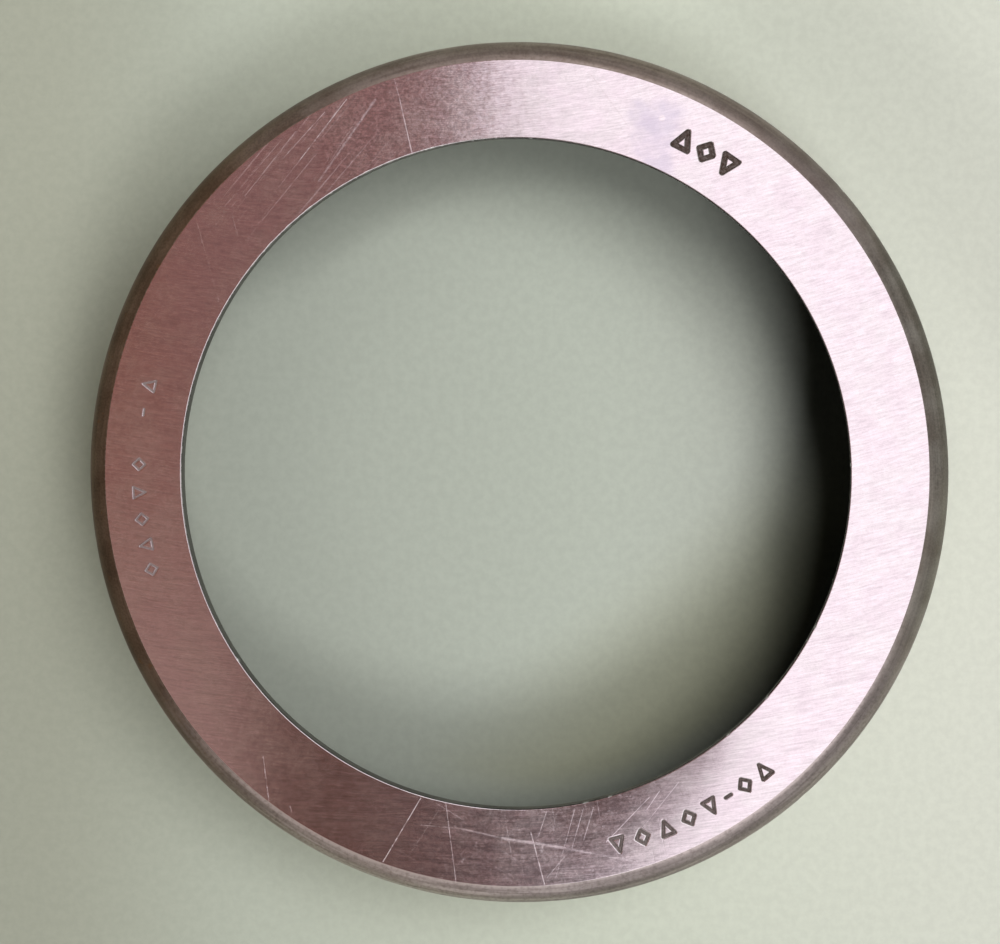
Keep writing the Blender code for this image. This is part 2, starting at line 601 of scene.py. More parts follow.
class Nodes:
    """Short calls for building a node tree; inputs are signals or plain values."""

    def __init__(self, tree):
        self.tree = tree

    def wrap(self, socket):
        return (Number if socket.type == "VALUE" else Triple)(self, socket)

    def connect(self, node, inputs):
        for key, value in inputs.items():
            if isinstance(value, Signal):
                self.tree.links.new(value.socket, node.inputs[key])
            else:
                node.inputs[key].default_value = value

    def put(self, kind, inputs=None, **options):
        node = self.tree.nodes.new(kind)
        for name, value in options.items():
            setattr(node, name, value)
        self.connect(node, inputs or {})
        return node

    def get(self, kind, output, inputs=None, **options):
        """Puts a node and returns one of its outputs."""
        return self.wrap(self.put(kind, inputs, **options).outputs[output])

    def math(self, operation, a, b=0.0, c=0.0):
        return self.get("ShaderNodeMath", 0, {0: a, 1: b, 2: c}, operation=operation)

    def join(self, x, y, z):
        return self.get("ShaderNodeCombineXYZ", 0, {0: x, 1: y, 2: z})

    def radial(self, x, y):
        """Unit direction away from the ring's axis."""
        return self.join(x, y, 0.0).unit()

    def attribute(self, name):
        return self.get("ShaderNodeAttribute", "Fac", attribute_name=name)


def larger(a, b):
    return a.nodes.math("MAXIMUM", a, b)


def smaller(a, b):
    return a.nodes.math("MINIMUM", a, b)


def mix(factor, start, end):
    """Mix of two colours."""
    return factor.nodes.get("ShaderNodeMix", 2, {0: factor, 6: start, 7: end},
                            data_type="RGBA", clamp_factor=True)


def blend(factor, start, end):
    """Mix of two plain values."""
    return factor.nodes.get("ShaderNodeMix", 0, {0: factor, 2: start, 3: end},
                            data_type="FLOAT", clamp_factor=True)


def rgb(red, green, blue):
    return (red, green, blue, 1.0)


def new_steel(name, colour, roughness):
    """The material, its nodes, its shader, and the place on the ring in mm."""
    material = bpy.data.materials.new(name)
    material.use_nodes = True
    material.diffuse_color = colour
    material.metallic = 1.0
    material.roughness = roughness
    nodes = Nodes(material.node_tree)
    shader = material.node_tree.nodes["Principled BSDF"]
    nodes.connect(shader, {"Metallic": 1.0, "Roughness": roughness, "Base Color": colour})
    place = nodes.get("ShaderNodeTexCoord", "Object") * (1.0 / MM)
    return material, nodes, shader, place


def finish(nodes, shader, colour, rough, height, relief):
    """Connects the shader; height of 0 to 1 stands for relief of that depth in metres."""
    bump = nodes.get("ShaderNodeBump", 0, {"Height": height, "Strength": 1.0, "Distance": relief})
    nodes.connect(shader, {"Base Color": colour, "Roughness": rough, "Normal": bump})


GROUND_RELIEF = 0.0000022             # of ground surfaces, in metres

# ------------------------------------------------------------- ground faces
GRIND_CENTRE = (-8.0, 124.0, 0.0)     # grinding lines are arcs round this point, in mm
GRIND_RADIUS = 122.0                  # turns an angle round it into mm along the lines

# straight scratches on the back face, in mm: start, end, width, strength
SCRATCHES = [
    ((-13.16, 29.60), (-16.91, 24.82), 0.055, 1.0),
    ((-10.86, 29.59), (-15.40, 23.16), 0.17, 0.50),
    ((-16.6, 25.2), (-18.6, 22.7), 0.045, 0.5),
    ((-14.9, 28.6), (-18.3, 24.9), 0.06, 0.85),
    ((-17.2, 27.1), (-21.3, 22.0), 0.07, 0.70),
    ((-18.3, 26.5), (-22.9, 21.2), 0.06, 0.60),
    ((-15.6, 25.3), (-19.9, 20.1), 0.06, 0.60),
    ((-20.6, 23.3), (-22.4, 21.1), 0.05, 0.45),
    ((-22.3, 20.5), (-21.9, 18.9), 0.06, 0.5),
    ((-25.23, 20.27), (-23.41, 13.70), 0.075, 0.42),
    ((-8.96, 29.58), (-8.01, 25.42), 0.07, 0.8),
    ((-9.4, 31.2), (-8.96, 29.58), 0.05, 0.4),
    ((-19.98, -22.45), (-19.51, -26.04), 0.07, 1.0),
    ((-17.82, -26.42), (-17.66, -26.98), 0.07, 0.9),
    ((-7.34, -25.66), (-10.38, -30.80), 0.075, 1.1),
    ((-5.9, -26.6), (-8.4, -30.4), 0.06, 0.35),
    ((-5.35, -26.04), (-4.55, -32.24), 0.055, 0.75),
    ((1.41, -28.26), (2.52, -32.46), 0.08, 0.95),
    ((2.68, -26.58), (2.04, -28.57), 0.05, 0.6),
    ((4.9, -26.4), (3.4, -31.9), 0.05, 0.45),
    ((5.6, -26.3), (4.6, -29.8), 0.05, 0.5),
    ((6.4, -26.2), (5.6, -28.9), 0.045, 0.45),
    ((4.1, -30.2), (2.7, -31.9), 0.06, 0.55),
    ((-7.34, -27.81), (-4.2, -28.05), 0.10, 0.35),
    ((-4.2, -28.05), (-0.89, -28.77), 0.12, 0.5),
    ((-0.89, -28.77), (4.03, -29.50), 0.20, 0.75),
    ((4.03, -29.50), (9.49, -30.54), 0.16, 0.5),
    ((10.8, -25.4), (7.4, -29.0), 0.05, 0.6),
    ((11.6, -24.9), (10.6, -26.4), 0.05, 0.5),
    ((13.1, -24.2), (9.9, -28.3), 0.045, 0.35),
    ((23.0, 19.2), (24.6, 14.3), 0.05, 0.3),
    ((25.1, 11.5), (27.9, 9.6), 0.05, 0.3),
    ((6.1, 31.4), (9.0, 27.4), 0.06, 0.35),
    ((-27.2, 14.2), (-30.2, 10.6), 0.045, 0.3),
]


def straight_scratches(nodes, flat):
    """Strength of the scratches of the table, broken up along their length."""
    total = None
    for (start_x, start_y), (end_x, end_y), width, strength in SCRATCHES:
        run, rise = end_x - start_x, end_y - start_y
        length = math.hypot(run, rise)
        along_x, along_y = run / length, rise / length
        middle_x, middle_y = (start_x + end_x) / 2, (start_y + end_y) / 2
        along = flat.dot((along_x, along_y, 0.0))
        across = flat.dot((-along_y, along_x, 0.0))
        across = abs(across - (-along_y * middle_x + along_x * middle_y))
        core = across.ramp(width * 0.75, width * 0.2, to=(0.0, strength), smoothly=False)
        middle = along_x * middle_x + along_y * middle_y
        one = core * nodes.math("COMPARE", along, middle, length / 2)
        total = one if total is None else larger(total, one)
    broken = flat.noise(scale=1.3, detail=3.0, rough=0.6, shift=(5.0, 5.0, 5.0))
    return total * (broken.ramp(0.30, 0.56, to=(0.25, 1.0)) * 0.56)


def oily_smudge(flat, colour):
    """A faint blue-violet smudge at the upper right, with a clean spot in it."""
    wobble = flat + flat.noise(scale=0.5, detail=4.0, output="Color") * 5.0
    main = wobble.distance((13.6, 29.9, 2.5)).ramp(3.0, 0.6)
    second = wobble.distance((14.2, 27.3, 2.5)).ramp(2.2, 0.4)
    smudge = larger(main, second * 0.8)
    clean = flat.distance((11.67, 27.99, 0.0)).ramp(0.32, 0.14)
    smudge = smudge * (1.0 - clean)
    return mix(smudge * 0.62, colour, rgb(0.42, 0.40, 0.48))


def ground_face(name, seed, scratched):
    material, nodes, shader, place = new_steel(name, rgb(0.60, 0.565, 0.575), roughness=0.26)
    x, y, _ = place.split()
    flat = nodes.join(x, y, 0.0)
    from_centre = flat - GRIND_CENTRE
    across = from_centre.length()
    from_x, from_y, _ = from_centre.split()
    along = nodes.math("ARCTAN2", from_x, from_y * -1.0) * GRIND_RADIUS

    # grinding lines, fine to coarse, long along the arcs and narrow across them
    def lines(per_along, per_across, shift, detail):
        where = nodes.join(along * per_along, across * per_across, seed + shift)
        return where.noise(detail=detail, rough=0.55)

    fine = lines(per_along=0.75, per_across=8.0, shift=0.0, detail=2.0)
    middle = lines(per_along=0.45, per_across=3.4, shift=3.7, detail=2.0)
    broad = lines(per_along=0.12, per_across=0.9, shift=9.1, detail=1.0)
    cloudy = flat.noise(scale=0.42, detail=3.0, rough=0.55, shift=(seed, 3.0, 1.0))
    mottle = flat.noise(scale=2.6, detail=4.0, rough=0.66, shift=(seed, 7.0, 4.0))
    grain = flat.noise(scale=6.5, detail=2.0, rough=0.6, shift=(seed, 1.0, 9.0))
    speckle = flat.noise(scale=4.2, detail=3.0, rough=0.7, shift=(seed, 8.0, 3.0))

    # hair scratches in a few directions, cut out of stretched noise between two levels
    def hairs(angle, per_along, per_across, shift, levels):
        cosine, sine = math.cos(math.radians(angle)), math.sin(math.radians(angle))
        hair_along = flat.dot((cosine * per_along, sine * per_along, 0.0))
        hair_across = flat.dot((-sine * per_across, cosine * per_across, 0.0))
        return nodes.join(hair_along, hair_across, seed + shift).noise(detail=1.0).ramp(*levels)

    rising = larger(
        hairs(angle=50.0, per_along=0.07, per_across=4.2, shift=21.0, levels=(0.60, 0.76)),
        hairs(angle=57.0, per_along=0.10, per_across=5.2, shift=27.0, levels=(0.64, 0.80)) * 0.7)
    crossing = larger(
        hairs(angle=100.0, per_along=0.12, per_across=5.0, shift=33.0, levels=(0.66, 0.80)),
        hairs(angle=-31.0, per_along=0.16, per_across=5.4, shift=45.0, levels=(0.68, 0.80)))

    # rubbed patches: centre, and the distances where each fades out and is full
    def patch(centre_x, centre_y, outer, inner):
        return flat.distance((centre_x, centre_y, 0.0)).ramp(outer, inner)

    upper_left = patch(-17.5, 23.5, outer=10.0, inner=5.0)
    bottom = patch(2.5, -29.5, outer=14.0, inner=6.0)
    top_right = patch(9.0, 28.5, outer=5.0, inner=2.0)
    top_left = patch(-8.5, 28.5, outer=9.5, inner=5.0)
    rubbed = larger(larger(upper_left * 0.5, bottom), larger(top_right * 0.5, top_left))

    # hair scratches crowd in the patches, and pale scuffs lie along the bottom
    hair = larger(rising * (upper_left * 0.26 + 0.03), crossing * (bottom * 0.22 + 0.02))
    scuff = flat.noise(scale=1.1, detail=4.0, rough=0.68, shift=(11.0, seed, 2.0))
    scratch = larger(hair, scuff.ramp(0.60, 0.74) * bottom * 0.30)
    if scratched:
        scratch = larger(scratch, straight_scratches(nodes, flat))

    # brightness: every scale of line and grain shows a little, the lines less on the left
    value = fine.swing(0.25, 0.75, by=0.095) + middle.swing(0.28, 0.72, by=0.05)
    value = value * x.ramp(-27.0, -12.0, to=(0.62, 1.0))
    value = value + broad.swing(0.3, 0.7, by=0.02)
    value = value + cloudy.swing(0.3, 0.7, by=0.03)
    value = value + (mottle.swing(0.3, 0.7, by=0.035) + grain.swing(0.3, 0.7, by=0.035))
    value = value + speckle.swing(0.32, 0.68, by=0.16) * larger(top_left, bottom * 0.7)
    # worn streaks that run round the ring, dark and pale, along the bottom
    round_x, round_y, _ = (flat.unit() * 9.0).split()
    streak = nodes.join(round_x, round_y, flat.length() * 1.9).noise(detail=3.0, rough=0.6)
    value = value + streak.ramp(0.34, 0.66, to=(-0.20, 0.14)) * bottom
    value = value + 1.0

    steel = mix(cloudy.ramp(0.35, 0.65), rgb(0.605, 0.560, 0.578), rgb(0.592, 0.566, 0.570))
    colour = steel * value
    if scratched:
        colour = oily_smudge(flat, colour)
    colour = mix((scratch * 0.55).clamped(), colour, rgb(0.80, 0.76, 0.77))
    # grime in the stamped marks, in the shallow marks partly painted shade
    soil_and_shade = nodes.attribute("dirt") * grain.ramp(0.25, 0.7, to=(0.80, 1.0))
    colour = mix(soil_and_shade, colour, rgb(0.085, 0.060, 0.048))
    colour = mix(nodes.attribute("worn"), colour, rgb(0.74, 0.71, 0.71))

    # the lower right is ground less deep: it mirrors a little more sharply
    sharper = patch(15.0, -25.0, outer=15.0, inner=9.0)
    rough = cloudy.ramp(0.3, 0.7, to=(0.100, 0.122)) + mottle.swing(0.3, 0.7, by=0.01)
    rough = rough + speckle.ramp(0.38, 0.66) * (rubbed * 0.016)
    rough = rough - sharper * 0.056
    rough = blend((scratch * 0.9).clamped(), rough, 0.45)
    rough = blend(soil_and_shade, rough, 0.62)

    wave = flat.noise(scale=1.3, detail=1.0, shift=(seed, 5.0, 2.0))
    height = fine * 0.9 + middle * 0.8
    height = height + wave * 0.6
    height = height * (1.0 - sharper * 0.85)
    height = height - scratch * 0.7
    finish(nodes, shader, colour, rough, height, GROUND_RELIEF)
    nodes.connect(shader, {
        "Anisotropic": (1.0 - larger(scratch, soil_and_shade)).clamped() * (0.85 - sharper * 0.65),
        "Tangent": from_centre.unit(),    # highlights stretch across the grinding lines
    })
    return material


# ------------------------------------------------------------- the other finishes
def turned_corner():
    """Dark scale on the turned corners, rubbed bright in places, with painted highlights on the
    right and painted shade to the left.
    """
    material, nodes, shader, place = new_steel("turned_corner", rgb(0.17, 0.15, 0.135),
                                               roughness=0.46)
    x, y, _ = place.split()
    path = nodes.attribute("path")
    from_face = FACE_PATH - path          # 0 at the back face, grows towards the outside
    where = path + (place * 0.09).noise() * 0.35
    # turning lines: fine along the section's path, long round the ring
    round_x, round_y, _ = (nodes.radial(x, y) * 3.0).split()
    turning = nodes.join(round_x, round_y, where * 9.0).noise(detail=3.0, rough=0.6)
    coarse = nodes.join(round_x, round_y, where * 2.4).noise()
    cloudy = place.noise(scale=0.30, detail=4.0, rough=0.6)
    speck = place.noise(scale=3.2, detail=3.0, rough=0.65)
    grit = place.noise(scale=6.0, rough=0.6)

    # brightness, with two painted highlights as paler stretches: right of the centre, and at the
    # upper right
    outward = nodes.radial(x, y)
    tone = turning.swing(0.25, 0.75, by=0.16) + coarse.swing(0.3, 0.7, by=0.08)
    tone = tone + cloudy.swing(0.3, 0.7, by=0.13)
    tone = tone + grit.swing(0.3, 0.7, by=0.15)
    tone = tone + (outward.dot((0.966, -0.259, 0.0)).ramp(0.955, 0.99, to=(0.0, 0.42))
                   + outward.dot((0.707, 0.707, 0.0)).ramp(0.955, 0.99, to=(0.0, 0.30)))
    tone = tone + 1.0

    def clouded(start, end):
        return mix(cloudy.ramp(0.35, 0.65), start, end)

    # hue: grey on the right, pinker at the bottom and top, tan and then brown to the left; the
    # grey right and the darker brown left are painted reflection of the lit and the dim sides
    pink = larger(y.ramp(-8.0, -20.0), y.ramp(14.0, 24.0))
    leftward = (x - y * 0.35).ramp(20.0, -4.0)
    tan = clouded(rgb(0.156, 0.113, 0.090), rgb(0.178, 0.140, 0.118))
    grey = clouded(rgb(0.140, 0.122, 0.104), rgb(0.165, 0.151, 0.134))
    grey = mix(pink, grey, clouded(rgb(0.143, 0.115, 0.106), rgb(0.169, 0.142, 0.135)))
    brown = clouded(rgb(0.120, 0.076, 0.049), rgb(0.138, 0.092, 0.062))
    colour = mix(x.ramp(-16.0, -25.0), mix(leftward, grey, tan), brown) * tone

    # the scale is rubbed bright in streaks: along the bottom, at the top, and at both edges; the
    # bright band along the bottom is partly wear and partly a painted reflection
    bottom = outward.dot((0.12, -0.99, 0.0)).ramp(0.30, 0.86)
    bottom = bottom * outward.dot((0.276, -0.961, 0.0)).ramp(0.985, 0.998, to=(1.0, 0.80))
    top = nodes.radial(x, y).dot((0.10, 0.995, 0.0)).ramp(0.78, 0.97)
    streak = coarse.ramp(0.42, 0.62)
    near_face = from_face.ramp(0.42, 0.05)
    near_outside = from_face.ramp(BACK_CORNER_LENGTH - 0.25, BACK_CORNER_LENGTH)
    wear_and_sheen = larger(bottom, top * 0.42) * (streak * 0.40 + 0.45 + near_face * 0.6)
    edges = larger(near_outside, from_face.ramp(0.10, 0.0))
    edge_wear = edges * speck.ramp(0.42, 0.62, to=(0.0, 0.5))
    wear_and_sheen = larger(wear_and_sheen, edge_wear * 0.5)
    wear_and_sheen = (wear_and_sheen * speck.ramp(0.3, 0.6, to=(0.55, 1.0))).clamped()
    bright = mix(pink, rgb(0.51, 0.465, 0.445), rgb(0.51, 0.435, 0.43))
    colour = mix(wear_and_sheen, colour, mix(leftward, bright, rgb(0.54, 0.455, 0.425)))
    knock = nodes.attribute("worn")
    colour = mix(knock, colour, rgb(0.62, 0.59, 0.58))
    # a few rusty spots on the left
    rust = place.noise(scale=0.9, detail=4.0, rough=0.65).ramp(0.62, 0.72)
    colour = mix(rust * x.ramp(-20.0, -31.0) * 0.6, colour, rgb(0.16, 0.075, 0.03))

    rough = blend(larger(wear_and_sheen, knock), turning.ramp(0.3, 0.7, to=(0.44, 0.54)), 0.33)
    finish(nodes, shader, colour, rough, height=turning * 1.0 + speck * 0.5, relief=0.0000045)
    return material


def ground_round(name, colours, roughness, anisotropy, lines_per_mm, seed, slope, shaded=False):
    """A cylinder or cone with ground lines round the ring; slope is its (radial, axial) run."""
    material, nodes, shader, place = new_steel(name, colours[0], roughness)
    x, y, z = place.split()
    outward = nodes.radial(x, y)
    out_x, out_y, _ = outward.split()
    drifting_z = z + (place * 0.05).noise(detail=1.0) * 0.5

    def lines(per_round, per_across, shift):
        where = nodes.join(out_x * per_round, out_y * per_round,
                           drifting_z * per_across + (seed + shift))
        return where.noise(rough=0.55)

    fine = lines(per_round=4.0, per_across=lines_per_mm, shift=0.0)
    middle = lines(per_round=2.2, per_across=lines_per_mm * 0.33, shift=13.0)
    broad = lines(per_round=1.2, per_across=lines_per_mm * 0.07, shift=29.0)
    cloudy = place.noise(scale=0.16, detail=3.0, rough=0.55, shift=(seed, seed, seed))
    speck = place.noise(scale=2.6, detail=3.0, rough=0.6, shift=(seed, 2.0, seed))

    # handling scratches, mostly lengthwise; lean is in mm of height per radian
    angle = nodes.math("ARCTAN2", out_y, out_x)

    def hairs(per_round, per_z, lean, shift, levels):
        where = nodes.join(out_x * per_round, out_y * per_round,
                           (z + angle * lean) * per_z + (seed + shift))
        return where.noise(detail=1.0).ramp(*levels)

    hair = larger(
        hairs(per_round=70.0, per_z=0.10, lean=0.0, shift=51.0, levels=(0.74, 0.84)) * 0.55,
        hairs(per_round=6.0, per_z=1.3, lean=2.2, shift=63.0, levels=(0.70, 0.84)) * 0.45)
    hair = hair * cloudy.ramp(0.34, 0.68, to=(0.15, 0.7))

    # brightness of the lines and clouds, then a brownish stain, scratches and dents
    value = fine.swing(0.25, 0.75, by=0.13) + middle.swing(0.28, 0.72, by=0.075)
    value = value + broad.swing(0.3, 0.7, by=0.05)
    value = value + cloudy.swing(0.3, 0.7, by=0.04)
    value = value + 1.0
    colour = mix(cloudy.ramp(0.38, 0.62), *colours) * value
    stain = place.noise(scale=0.11, detail=4.0, rough=0.55, shift=(2.0, seed, 8.0))
    stain = stain.ramp(0.50, 0.78)
    colour = mix(stain * 0.35, colour, rgb(0.40, 0.35, 0.31))
    colour = mix(hair * 0.5, colour, rgb(0.78, 0.76, 0.76))
    colour = mix(nodes.attribute("worn"), colour, rgb(0.70, 0.68, 0.68))
    if shaded:                        # dark to bounced light, which keeps the inside in shadow
        depth = nodes.get("ShaderNodeLightPath", "Diffuse Depth")
        colour = mix(nodes.math("GREATER_THAN", depth, 0.5), colour, rgb(0.02, 0.02, 0.02))

    rough = cloudy.ramp(0.3, 0.7, to=(roughness - 0.03, roughness + 0.04))
    rough = rough + fine.swing(0.3, 0.7, by=0.02)
    rough = blend(stain, rough, roughness + 0.12)
    rough = blend(hair, rough, 0.42)
    height = fine * 0.8 + middle * 1.0
    height = height + speck * 0.25
    height = height - hair * 0.9
    finish(nodes, shader, colour, rough, height, GROUND_RELIEF)
    # highlights stretch across the lines, along the slope
    nodes.connect(shader, {"Anisotropic": anisotropy,
                           "Tangent": outward * slope[0] + (0.0, 0.0, slope[1])})
    return material


def bore_land():
    """Dark turned steel of the land at the back end of the bore."""
    material, nodes, shader, place = new_steel("bore_land", rgb(0.22, 0.20, 0.19),
                                               roughness=0.42)
    x, y, z = place.split()
    round_x, round_y, _ = (nodes.radial(x, y) * 3.0).split()
    turning = nodes.join(round_x, round_y, z * 8.0).noise(detail=3.0, rough=0.6)
    cloudy = place.noise(scale=0.35, detail=4.0, rough=0.6)
    tone = turning.swing(0.25, 0.75, by=0.3) + cloudy.swing(0.3, 0.7, by=0.2)
    colour = mix(cloudy.ramp(0.35, 0.65), rgb(0.075, 0.064, 0.056), rgb(0.105, 0.094, 0.085))
    colour = mix(nodes.attribute("worn"), colour * (tone + 1.0), rgb(0.6, 0.58, 0.57))
    rough = turning.ramp(0.3, 0.7, to=(0.38, 0.5))
    finish(nodes, shader, colour, rough, height=turning, relief=0.000004)
    return material


def edge_break():
    """Speckled steel of the bore's chamfers, with painted shade and painted glints."""
    material, nodes, shader, place = new_steel("edge_break", rgb(0.62, 0.60, 0.60),
                                               roughness=0.24)
    x, y, _ = place.split()

    def facing(direction_x, direction_y):
        return nodes.radial(x, y).dot((direction_x, direction_y, 0.0))

    speck = place.noise(scale=2.2, detail=4.0, rough=0.65)
    cloudy = place.noise(scale=0.4)
    value = speck.ramp(0.35, 0.68, to=(-0.35, 0.55)) + cloudy.ramp(0.35, 0.65, to=(-0.25, 0.15))
    # painted shade: darker at the lower left, and dark on the right and at the lower right
    shade_lower_left = facing(-0.62, -0.60).ramp(0.50, 0.80, to=(1.0, 0.38))
    dark = smaller(facing(0.92, 0.39).ramp(0.12, 0.42, to=(1.0, 0.22)),
                   facing(0.50, -0.866).ramp(0.68, 0.86, to=(1.0, 0.24)))
    steel = mix(cloudy.ramp(0.4, 0.6), rgb(0.38, 0.36, 0.35), rgb(0.33, 0.31, 0.30))
    colour = steel * ((value + 1.0) * shade_lower_left * dark)
    # bright glints at the upper left
    glint = place.noise(scale=1.1).ramp(0.60, 0.66) * facing(-0.47, 0.88).ramp(0.80, 0.93)
    colour = mix(larger(nodes.attribute("worn"), glint), colour, rgb(0.85, 0.83, 0.83))
    rough = speck.ramp(0.3, 0.7, to=(0.20, 0.36))
    finish(nodes, shader, colour, rough, height=speck, relief=0.000006)
    return material


race_slope = math.hypot(1.0, RACE_TAPER)
MATERIALS = [                         # in the order of the material slots
    ground_face("ground_back_face", seed=0.0, scratched=True),
    turned_corner(),
    ground_round("ground_outside", (rgb(0.56, 0.545, 0.545), rgb(0.53, 0.525, 0.53)),
                 roughness=0.24, anisotropy=0.9, lines_per_mm=11.0, seed=3.0, slope=(0.0, 1.0)),
    ground_round("honed_raceway", (rgb(0.62, 0.61, 0.61), rgb(0.59, 0.585, 0.59)),
                 roughness=0.19, anisotropy=0.8, lines_per_mm=13.0, seed=8.0,
                 slope=(-RACE_TAPER / race_slope, 1.0 / race_slope), shaded=True),
    bore_land(),
    edge_break(),
    ground_face("ground_front_face", seed=17.0, scratched=False),
]
for material in MATERIALS:
    ring.data.materials.append(material)

# edges that a tool leaves crisp, such as the lips of the stamped marks
ring.data.set_sharp_from_angle(angle=math.radians(52))

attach(ring, BODY)
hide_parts(NODE)

# ------------------------------------------------------------- floor, in metres
TOP = WIDTH * MM                      # height of the back face
FLOOR_HALF = 4.5
FLOOR_DROP = 0.00002                  # keeps the floor just clear of the front face


def floor_paint():
    material = bpy.data.materials.new("pale_floor")
    material.use_nodes = True
    nodes = Nodes(material.node_tree)
    place = nodes.get("ShaderNodeTexCoord", "Object")
    cloud = place.noise(scale=9.0)
    grain = place.noise(scale=1400.0, rough=0.6)

    # painted light and shade: a little deeper in tone on the left of the ring, paler on its
    # right, level far away
    x, y, _ = place.split()
    lean = nodes.math("TANH", x * (1 / 0.045))
    near = nodes.math("EXPONENT", place.dot(place) * (-1 / 0.17**2))
    tone = lean * near * 0.36 + 1.0
    tone = tone * grain.ramp(0.25, 0.75, to=(0.965, 1.035))
    colour = mix(cloud, rgb(0.570, 0.614, 0.532), rgb(0.585, 0.629, 0.547))
    colour = mix((lean * near).ramp(0.0, 0.9), colour, rgb(0.590, 0.605, 0.555))
    # painted shade to the left of the ring: yellower, and deeper towards its lower left
    left = x.ramp(-0.022, -0.044) * near
    colour = mix(left, colour, rgb(0.570, 0.590, 0.492))
    tone = tone * (1.0 - left * y.ramp(0.012, -0.030) * 0.13)
    # inside the ring, painted light and shade: paler in the middle, and a greener painted shadow
    # at the lower right
    middle = place.length().ramp(0.027, 0.012)
    tone = tone * (middle * 0.12 + 1.0)
    out = place.length()
    low = place.dot((0.64, -0.77, 0.0)).ramp(0.010, 0.024) * out.ramp(0.0285, 0.0250)
    colour = mix(low, colour, rgb(0.575, 0.590, 0.440))
    tone = tone * (1.0 - low * 0.10)
    # painted shade close to the wall, at the top and at the lower right
    top = out.ramp(0.0220, 0.0252) * y.ramp(0.012, 0.019) * out.ramp(0.0310, 0.0290)
    deep = x.ramp(0.0185, 0.0220) * y.ramp(-0.002, -0.008) * out.ramp(0.0310, 0.0290)
    tone = tone * (1.0 - (top * 0.15 + deep * 0.30))
    # outside the ring, painted light and shade: a paler patch above it and a deeper one at its
    # upper right
    above = place.dot((-0.20, 0.98, 0.0)).ramp(0.031, 0.039) * x.ramp(-0.034, -0.020)
    above = above * out.ramp(0.085, 0.050)
    aside = place.dot((0.75, 0.66, 0.0)).ramp(0.030, 0.040) * out.ramp(0.053, 0.045)
    tone = tone * (1.0 + (above * 0.11 - aside * 0.10))
    nodes.connect(material.node_tree.nodes["Principled BSDF"], {
        "Base Color": colour * tone, "Roughness": 0.9, "Specular IOR Level": 0.0,
    })
    return material


def pale_floor():
    half = FLOOR_HALF
    mesh = bpy.data.meshes.new("floor")
    corners = [(-half, -half, 0), (half, -half, 0), (half, half, 0), (-half, half, 0)]
    mesh.from_pydata(corners, [], [(0, 1, 2, 3)])
    floor = bpy.data.objects.new("floor", mesh)
    floor.location.z = -FLOOR_DROP
    bpy.context.scene.collection.objects.link(floor)
    floor.data.materials.append(floor_paint())


# ------------------------------------------------------------------ lights
def place_light(name, light, towards):
    """A light whose back looks along a direction, so that it shines the other way."""
    obj = bpy.data.objects.new(name, light)
    obj.rotation_mode = "QUATERNION"
    obj.rotation_quaternion = towards.to_track_quat("Z", "Y")
    bpy.context.scene.collection.objects.link(obj)
    return obj


def soft_sun(name, tilt, azimuth, spread, strength):
    """A distant soft source: tilt from overhead, azimuth from +X towards +Y, spread its width."""
    light = bpy.data.lights.new(name, "SUN")
    light.energy = strength
    light.color = (1.0, 0.995, 0.985)
    light.angle = math.radians(spread)
    tilt, azimuth = math.radians(tilt), math.radians(azimuth)
    towards = Vector((math.sin(tilt) * math.cos(azimuth), math.sin(tilt) * math.sin(azimuth),
                      math.cos(tilt)))
    obj = place_light(name, light, towards)
    obj.visible_glossy = False        # the dome is what the steel mirrors


def panel(name, location, target, size, power, colour):
    light = bpy.data.lights.new(name, "AREA")
    light.shape = "RECTANGLE"
    light.size, light.size_y = size
    light.energy = power
    light.color = colour
    obj = place_light(name, light, Vector(location) - Vector(target))
    obj.location = location
    obj.visible_camera = False


pale_floor()
soft_sun("key_upper_right", tilt=20.9, azimuth=30.0, spread=24.0, strength=0.95)
soft_sun("key_right", tilt=31.0, azimuth=3.0, spread=38.0, strength=0.725)
soft_sun("key_lower_right", tilt=28.6, azimuth=-51.0, spread=17.0, strength=0.79)
panel("window_right", location=(0.85, 0.22, 0.20), target=(0.0, 0.0, 0.02), size=(0.55, 0.26),
      power=0.55, colour=(0.98, 0.99, 1.0))

# ------------------------------------------------------------------ the dome
# linear colours
CEILING = rgb(1.67, 1.52, 1.615)
FAR_CEILING = rgb(1.56, 1.54, 1.52)
WARM_LEFT = rgb(0.325, 0.138, 0.098)
WARM_LOW_LEFT = rgb(0.475, 0.300, 0.262)
WARM_TOP = rgb(0.34, 0.175, 0.16)
WARM_BOTTOM = rgb(0.165, 0.085, 0.065)
WARM_NEAR_EDGE = rgb(0.20, 0.125, 0.118)
UNLIT = rgb(0.008, 0.008, 0.007)
HORIZON = rgb(4.4, 4.15, 3.55)
BACKDROP = rgb(0.539, 0.565, 0.479)
SOFT_BOX = rgb(1.15, 1.14, 1.12)
# azimuth and half width in degrees, strength
SOFT_BOXES = [(22.0, 30.0, 0.62), (128.0, 26.0, 0.50), (262.0, 34.0, 0.58)]


def ceiling_share(across, upward):
    """How much of the pale ceiling, to the right overhead, shows in a direction."""
    # its left edge leans one way above and the other below
    edge = (upward.ramp(0.01, -0.07, to=(-0.0935, -0.0290))
            + upward.ramp(-0.11, -0.17, to=(0.0, -0.0350)))
    softness = (upward.ramp(0.0, -0.12, to=(0.0035, 0.0035))
                + upward.ramp(-0.126, -0.146, to=(0.0, 0.007)))
    inside = across - edge
    bright = (inside / softness).ramp(-1.0, 1.0)
    tail = inside.ramp(-0.024, -0.002, to=(0.0, 0.31)) * upward.ramp(-0.09, -0.115)
    bright = larger(bright, tail)
    return bright * (across.ramp(0.75, 0.35) * abs(upward).ramp(1.3, 0.7))


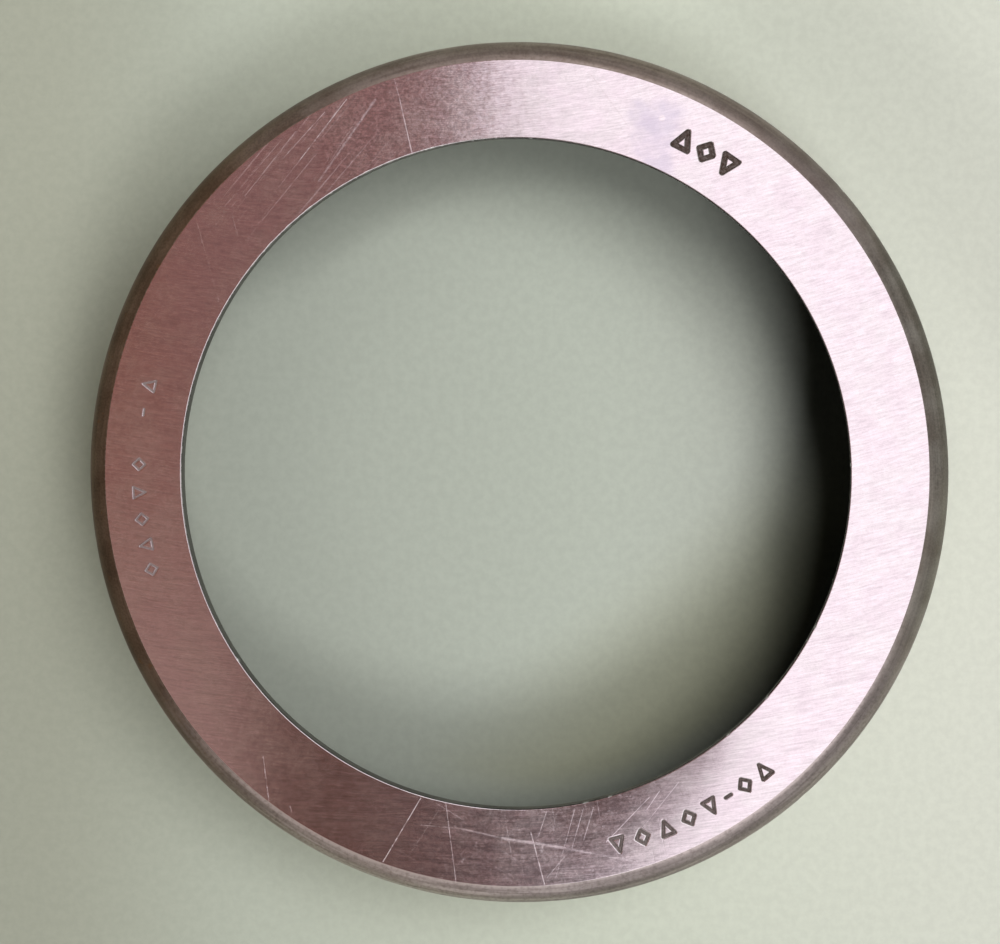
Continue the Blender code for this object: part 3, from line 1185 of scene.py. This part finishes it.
def warm_wall(across, upward):
    """The dim warm side, which differs a little from place to place."""
    left = mix(upward.ramp(-0.03, -0.10), WARM_LEFT, WARM_LOW_LEFT)
    lower = mix(across.ramp(-0.145, -0.085), WARM_BOTTOM, WARM_NEAR_EDGE)
    inner = mix(upward.ramp(-0.08, 0.02), lower, WARM_TOP)
    # where the left part ends, carried as a grey
    parting = mix(upward.ramp(-0.06, 0.01), rgb(0.157, 0.157, 0.157), rgb(0.185, 0.185, 0.185))
    return mix((across + parting.split()[0]).ramp(-0.006, 0.006), left, inner)


def studio_sides(nodes, x, y, z):
    """The neutral, pale sides, with three tall soft boxes and dimmer gaps between them."""
    azimuth = nodes.math("ARCTAN2", y, x)
    boxes = None
    for centre, width, strength in SOFT_BOXES:
        apart = nodes.math("COSINE", azimuth - math.radians(centre))
        apart = nodes.math("ARCCOSINE", apart)
        box = apart.ramp(math.radians(width), math.radians(width * 0.35), to=(0.0, strength))
        boxes = box if boxes is None else boxes + box
    boxes = boxes * z.ramp(0.80, 0.55)
    low = z.ramp(0.70, 0.0)
    side = x.ramp(-0.7, 0.5)
    sides = mix(side, rgb(0.50, 0.495, 0.48), rgb(0.56, 0.565, 0.545))
    sides = mix(low, sides, mix(side, rgb(0.27, 0.26, 0.245), rgb(0.44, 0.445, 0.425)))
    return mix(boxes, sides, SOFT_BOX)


def studio_dome():
    """What the steel reflects, what bounced light sees, and the camera's plain backdrop."""
    world = bpy.data.worlds.new("studio")
    world.use_nodes = True
    world.cycles.sampling_method = "NONE"     # smooth, and what it shows depends on the ray
    bpy.context.scene.world = world
    nodes = Nodes(world.node_tree)
    x, y, z = nodes.get("ShaderNodeTexCoord", "Generated").split()
    # the direction as a place on a level plane one unit overhead
    height = larger(z, 0.02)
    across = x / height
    upward = y / height
    away = nodes.math("SQRT", across * across + upward * upward)
    colour = mix(away.ramp(0.85, 0.42), studio_sides(nodes, x, y, z), warm_wall(across, upward))
    ceiling = mix(away.ramp(0.22, 0.36), CEILING, FAR_CEILING)
    colour = mix(ceiling_share(across, upward), colour, ceiling)
    # light that has bounced diffusely sees an unlit room with a pale band near the horizon
    ray = nodes.put("ShaderNodeLightPath")
    bounced = nodes.math("GREATER_THAN", nodes.wrap(ray.outputs["Diffuse Depth"]), 0.5)
    colour = mix(bounced, colour, mix(z.ramp(0.28, 0.19), UNLIT, HORIZON))
    colour = mix(nodes.wrap(ray.outputs["Is Camera Ray"]), colour, BACKDROP)
    nodes.connect(world.node_tree.nodes["Background"], {"Color": colour, "Strength": 1.0})


studio_dome()


# ------------------------------------------------------------------- the camera
def add_camera():
    """Looks down at the back face from a little to the upper right, with +Y up the picture."""
    data = bpy.data.cameras.new("camera")
    data.sensor_width = 36.0
    data.lens = 135.0
    data.clip_start, data.clip_end = 0.01, 20.0
    camera = bpy.data.objects.new("camera", data)
    camera.location = (0.025313, 0.012191, TOP + 0.294253)
    target = Vector((-0.001052, 0.000225, TOP))
    back = (camera.location - target).normalized()
    right = Vector((0.0, 1.0, 0.0)).cross(back).normalized()
    above = back.cross(right)
    camera.rotation_mode = "QUATERNION"
    camera.rotation_quaternion = Matrix((right, above, back)).transposed().to_quaternion()
    bpy.context.scene.collection.objects.link(camera)
    bpy.context.scene.camera = camera


add_camera()
view = bpy.context.scene.view_settings
view.view_transform = "Standard"
view.look = "None"
view.exposure = 0.0
view.gamma = 1.0

bpy.context.view_layer.update()
